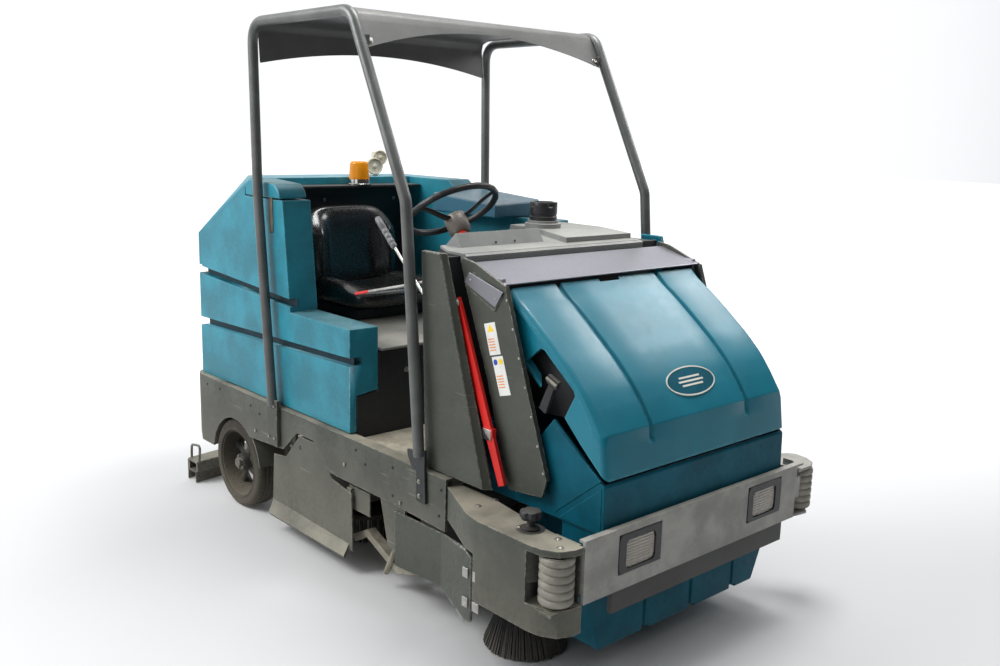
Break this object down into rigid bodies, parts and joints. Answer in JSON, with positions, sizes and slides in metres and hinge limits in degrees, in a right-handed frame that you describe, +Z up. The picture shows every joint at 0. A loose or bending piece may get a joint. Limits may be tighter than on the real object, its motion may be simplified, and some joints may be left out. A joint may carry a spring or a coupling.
{
  "type": "ride-on floor sweeper-scrubber",
  "caption": "Ride-on industrial floor sweeper-scrubber with front debris hopper, overhead guard, driver's seat, scrub deck and rear squeegee.",
  "frame": {"origin": "bottom centre of the overall bounding box, on the floor", "axes": "X runs across the machine (driver's right-hand side is -X), +Y points to the rear (squeegee), the front hopper faces -Y, +Z up"},
  "size_m": [1.38, 2.6, 2.0715],
  "materials": {
    "chassis_frame": "satin, scuffed",
    "floor_plate": "worn paint",
    "seat_box": "matte",
    "seat_deck": "matte",
    "rear_tank": "semi-gloss",
    "bulkhead_shelf": "satin",
    "engine_cover": "semi-gloss",
    "console_deck": "satin",
    "front_bulkhead": "satin",
    "fairing_near": "satin",
    "fairing_far": "satin",
    "guard_hoop_near": "satin",
    "guard_hoop_far": "satin",
    "guard_roof": "satin",
    "steering_column": "satin",
    "beacon_base": "polished",
    "beacon_lens": "clear amber",
    "horn_pair": "satin",
    "headlight_near": "satin surround, ribbed clear lens",
    "headlight_far": "satin surround, ribbed clear lens",
    "bumper_bar": "worn light grey",
    "bumper_lip": "matte",
    "side_brush_housing": "satin, scuffed",
    "steering_wheel": "satin",
    "front_fork": "satin",
    "front_wheel": "matte",
    "rear_wheel_near": "matte, steel rim",
    "rear_wheel_far": "matte, steel rim",
    "hopper_body": "semi-gloss",
    "hopper_panel_near": "satin",
    "hopper_panel_far": "satin",
    "cross_panel": "satin",
    "hood": "semi-gloss",
    "hood_latch": "matte",
    "support_bar": "satin",
    "tank_lid": "semi-gloss",
    "side_cover": "semi-gloss",
    "filler_cap": "matte",
    "seat_base": "satin",
    "seat_cushion": "vinyl, glossy",
    "seat_back": "vinyl, glossy",
    "brake_lever": "polished",
    "throttle_lever": "satin",
    "drive_pedal": "matte",
    "brake_pedal": "matte",
    "estop_button": "gloss",
    "bumper_roller_near": "worn",
    "bumper_roller_far": "worn",
    "height_knob": "matte",
    "brush_door": "satin, scuffed",
    "side_brush": "bristles",
    "brush_arm": "satin",
    "main_brush": "bristles",
    "scrub_head": "satin, rubber skirts",
    "scrub_brush_near": "bristles",
    "scrub_brush_far": "bristles",
    "squeegee_carrier": "satin",
    "squeegee_blade": "matte"
  },
  "bodies": {
    "chassis": {"chassis_frame": "chassis_frame", "floor_plate": "floor_plate", "seat_box": "seat_box", "seat_deck": "seat_deck", "rear_tank": "rear_tank", "bulkhead_shelf": "bulkhead_shelf", "engine_cover": "engine_cover", "console_deck": "console_deck", "front_bulkhead": "front_bulkhead", "fairing_near": "fairing_near", "fairing_far": "fairing_far", "guard_hoop_near": "guard_hoop_near", "guard_hoop_far": "guard_hoop_far", "guard_roof": "guard_roof", "steering_column": "steering_column", "beacon_base": "beacon_base", "beacon_lens": "beacon_lens", "horn_pair": "horn_pair", "headlight_near": "headlight_near", "headlight_far": "headlight_far", "bumper_bar": "bumper_bar", "bumper_lip": "bumper_lip", "side_brush_housing": "side_brush_housing"},
    "steering": {"steering_wheel": "steering_wheel"},
    "fork": {"front_fork": "front_fork"},
    "front_roadwheel": {"front_wheel": "front_wheel"},
    "roadwheel_near": {"rear_wheel_near": "rear_wheel_near"},
    "roadwheel_far": {"rear_wheel_far": "rear_wheel_far"},
    "hopper": {"hopper_body": "hopper_body", "hopper_panel_near": "hopper_panel_near", "hopper_panel_far": "hopper_panel_far", "cross_panel": "cross_panel"},
    "hood": {"hood": "hood"},
    "latch": {"hood_latch": "hood_latch"},
    "safety_bar": {"support_bar": "support_bar"},
    "tank_cover": {"tank_lid": "tank_lid"},
    "engine_hatch": {"side_cover": "side_cover"},
    "filler": {"filler_cap": "filler_cap"},
    "seat": {"seat_base": "seat_base", "seat_cushion": "seat_cushion", "seat_back": "seat_back"},
    "brake_handle": {"brake_lever": "brake_lever"},
    "throttle_handle": {"throttle_lever": "throttle_lever"},
    "drive_pedal": {"drive_pedal": "drive_pedal"},
    "brake_pedal": {"brake_pedal": "brake_pedal"},
    "estop": {"estop_button": "estop_button"},
    "roller_near": {"bumper_roller_near": "bumper_roller_near"},
    "roller_far": {"bumper_roller_far": "bumper_roller_far"},
    "knob": {"height_knob": "height_knob"},
    "door": {"brush_door": "brush_door"},
    "sweep_brush": {"side_brush": "side_brush"},
    "brush_arm": {"brush_arm": "brush_arm"},
    "main_brush": {"main_brush": "main_brush"},
    "scrub_deck": {"scrub_head": "scrub_head"},
    "scrub_near": {"scrub_brush_near": "scrub_brush_near"},
    "scrub_far": {"scrub_brush_far": "scrub_brush_far"},
    "squeegee": {"squeegee_carrier": "squeegee_carrier", "squeegee_blade": "squeegee_blade"}
  },
  "joints": [
    {"name": "steering_turn", "type": "hinge", "parent": "chassis", "child": "steering", "pos_m": [0, 0.028, 1.348], "axis": [0, 0.565, 0.8251], "range_deg": [-540, 540]},
    {"name": "fork_steer", "type": "hinge", "parent": "chassis", "child": "fork", "pos_m": [0, -0.12, 0.36], "axis": [0, 0, 1], "range_deg": [-60, 60]},
    {"name": "front_wheel_spin", "type": "hinge", "parent": "fork", "child": "front_roadwheel", "pos_m": [0, -0.12, 0.165], "axis": [1, 0, 0], "continuous": true},
    {"name": "rear_wheel_near_spin", "type": "hinge", "parent": "chassis", "child": "roadwheel_near", "pos_m": [-0.519, 0.792, 0.197], "axis": [1, 0, 0], "continuous": true},
    {"name": "rear_wheel_far_spin", "type": "hinge", "parent": "chassis", "child": "roadwheel_far", "pos_m": [0.519, 0.792, 0.197], "axis": [1, 0, 0], "continuous": true},
    {"name": "hopper_lift", "type": "slide", "parent": "chassis", "child": "hopper", "axis": [0, 0, 1], "range_m": [0, 0.45]},
    {"name": "hood_open", "type": "hinge", "parent": "hopper", "child": "hood", "pos_m": [0, -0.828, 1.16], "axis": [-1, 0, 0], "range_deg": [0, 60]},
    {"name": "latch_open", "type": "hinge", "parent": "hopper", "child": "latch", "pos_m": [-0.471, -1.005, 0.832], "axis": [0, -0.9188, -0.3948], "range_deg": [0, 60], "stiffness_Nm_per_rad": 0.12, "springref_deg": -11.46},
    {"name": "safety_bar_swing", "type": "hinge", "parent": "chassis", "child": "safety_bar", "pos_m": [-0.52, -0.649, 1.12], "axis": [-1, 0, 0], "range_deg": [0, 20]},
    {"name": "tank_cover_open", "type": "hinge", "parent": "chassis", "child": "tank_cover", "pos_m": [-0.503, 0.684, 1.44], "axis": [-1, 0, 0], "range_deg": [0, 75]},
    {"name": "engine_hatch_open", "type": "hinge", "parent": "chassis", "child": "engine_hatch", "pos_m": [0.562, 0.3225, 1.392], "axis": [0, 1, 0], "range_deg": [0, 70]},
    {"name": "filler_turn", "type": "hinge", "parent": "chassis", "child": "filler", "pos_m": [0.26, -0.23, 1.35], "axis": [0, 0, 1], "range_deg": [0, 90]},
    {"name": "seat_adjust", "type": "slide", "parent": "chassis", "child": "seat", "axis": [0, 1, 0], "range_m": [-0.1, 0.05]},
    {"name": "brake_handle_swing", "type": "hinge", "parent": "chassis", "child": "brake_handle", "pos_m": [-0.5205, -0.5, 1.0945], "axis": [1, 0, 0], "range_deg": [-12, 15]},
    {"name": "throttle_swing", "type": "hinge", "parent": "chassis", "child": "throttle_handle", "pos_m": [-0.5065, -0.54, 1.181], "axis": [1, 0, 0], "range_deg": [-10, 10]},
    {"name": "drive_pedal_press", "type": "hinge", "parent": "chassis", "child": "drive_pedal", "pos_m": [0.145, -0.34, 0.5225], "axis": [1, 0, 0], "range_deg": [0, 12], "stiffness_Nm_per_rad": 6, "springref_deg": -8.59},
    {"name": "brake_pedal_press", "type": "hinge", "parent": "chassis", "child": "brake_pedal", "pos_m": [-0.145, -0.34, 0.5225], "axis": [1, 0, 0], "range_deg": [0, 12], "stiffness_Nm_per_rad": 6, "springref_deg": -8.59},
    {"name": "estop_press", "type": "slide", "parent": "chassis", "child": "estop", "axis": [0.64, 0.634, -0.434], "range_m": [0, 0.004], "stiffness_N_per_m": 400, "springref_m": -0.002},
    {"name": "roller_near_spin", "type": "hinge", "parent": "chassis", "child": "roller_near", "pos_m": [-0.622, -1.24, 0.415], "axis": [0, 0, 1], "continuous": true},
    {"name": "roller_far_spin", "type": "hinge", "parent": "chassis", "child": "roller_far", "pos_m": [0.622, -1.24, 0.415], "axis": [0, 0, 1], "continuous": true},
    {"name": "knob_turn", "type": "hinge", "parent": "chassis", "child": "knob", "pos_m": [-0.604, -1.105, 0.545], "axis": [0, 0, 1], "continuous": true},
    {"name": "door_open", "type": "hinge", "parent": "chassis", "child": "door", "pos_m": [-0.6838, -0.9345, 0.275], "axis": [0, 0, 1], "range_deg": [0, 110]},
    {"name": "side_brush_spin", "type": "hinge", "parent": "chassis", "child": "sweep_brush", "pos_m": [-0.41, -0.9, 0.12], "axis": [0, 0, 1], "continuous": true},
    {"name": "brush_arm_lift", "type": "hinge", "parent": "chassis", "child": "brush_arm", "pos_m": [0, -0.06, 0.118], "axis": [-1, 0, 0], "range_deg": [0, 8]},
    {"name": "main_brush_spin", "type": "hinge", "parent": "brush_arm", "child": "main_brush", "pos_m": [0, -0.56, 0.155], "axis": [1, 0, 0], "continuous": true},
    {"name": "scrub_lift", "type": "slide", "parent": "chassis", "child": "scrub_deck", "axis": [0, 0, 1], "range_m": [0, 0.05]},
    {"name": "scrub_near_spin", "type": "hinge", "parent": "scrub_deck", "child": "scrub_near", "pos_m": [-0.24, 0.265, 0.1], "axis": [0, 0, 1], "continuous": true},
    {"name": "scrub_far_spin", "type": "hinge", "parent": "scrub_deck", "child": "scrub_far", "pos_m": [0.24, 0.265, 0.1], "axis": [0, 0, 1], "continuous": true},
    {"name": "squeegee_lift", "type": "hinge", "parent": "chassis", "child": "squeegee", "pos_m": [0, 1.003, 0.2], "axis": [1, 0, 0], "range_deg": [0, 12]}
  ],
  "couplings": [
    {"joint": "fork_steer", "follows": "steering_turn", "ratio": 0.1},
    {"joint": "scrub_far_spin", "follows": "scrub_near_spin", "ratio": -1}
  ]
}
